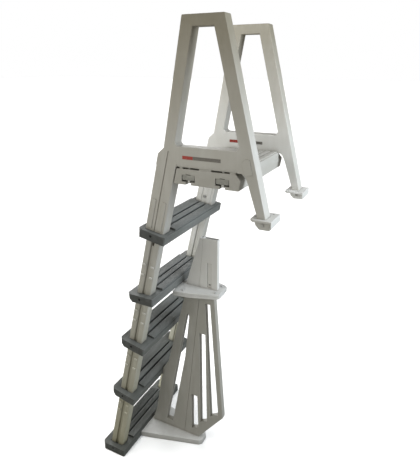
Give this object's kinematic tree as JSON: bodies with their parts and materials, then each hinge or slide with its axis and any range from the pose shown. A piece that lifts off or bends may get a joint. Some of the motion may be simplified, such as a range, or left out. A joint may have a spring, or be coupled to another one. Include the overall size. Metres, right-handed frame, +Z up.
{
  "type": "pool ladder",
  "caption": "In-pool ladder with looped handrails, a small platform, dark slatted treads, telescoping twin-tube rails and a slotted central swim barrier.",
  "frame": {"origin": "centre of the bounding box at the pool floor, under the ladder", "axes": "+X from the pool towards the deck, +Y across the ladder, +Z up"},
  "size_m": [0.8044, 0.506, 1.945],
  "materials": {
    "frame_resin": "moulded resin, fine satin",
    "platform_resin": "moulded resin, satin",
    "foot_resin": "moulded resin, satin",
    "rail_resin": "extruded resin, satin",
    "tread_resin": "moulded resin with a fine non-slip grain",
    "barrier_resin": "moulded resin, satin",
    "plate_resin": "moulded resin, satin",
    "bright_steel": "stainless steel",
    "dark_steel": "dark coated steel",
    "label": "thin printed strip"
  },
  "bodies": {
    "lower_ladder": {"lower_rail_near": "rail_resin", "lower_rail_far": "rail_resin", "tread_2": "tread_resin", "tread_3": "tread_resin", "tread_4": "tread_resin", "tread_5": "tread_resin", "tread_screws_lower": "dark_steel", "barrier_fin_front": "barrier_resin", "barrier_fin_rear": "barrier_resin", "barrier_base_plate": "plate_resin", "barrier_flange_lower": "plate_resin", "barrier_flange_upper": "plate_resin", "barrier_post_front": "plate_resin", "barrier_post_rear": "plate_resin", "barrier_flange_bolts": "bright_steel", "barrier_flange_nuts": "bright_steel", "barrier_post_screws": "bright_steel", "barrier_base_screws": "bright_steel", "barrier_tread_screws": "bright_steel", "barrier_lug_bolt": "bright_steel", "barrier_seam_bolts": "bright_steel"},
    "upper_frame": {"side_frame_near": "frame_resin", "side_frame_far": "frame_resin", "platform": "platform_resin", "platform_clamps": "bright_steel", "platform_bolts": "bright_steel", "platform_nuts": "bright_steel", "deck_foot_near": "foot_resin", "deck_foot_far": "foot_resin", "foot_bolts": "bright_steel", "foot_nuts": "bright_steel", "tread_1": "tread_resin", "tread_screws_upper": "dark_steel", "rail_lock_bolts": "bright_steel", "side_labels": "label"}
  },
  "joints": [
    {"name": "rail_extension", "type": "slide", "parent": "lower_ladder", "child": "upper_frame", "axis": [0.226, 0, 0.9741], "range_m": [-0.1, 0.05]}
  ]
}
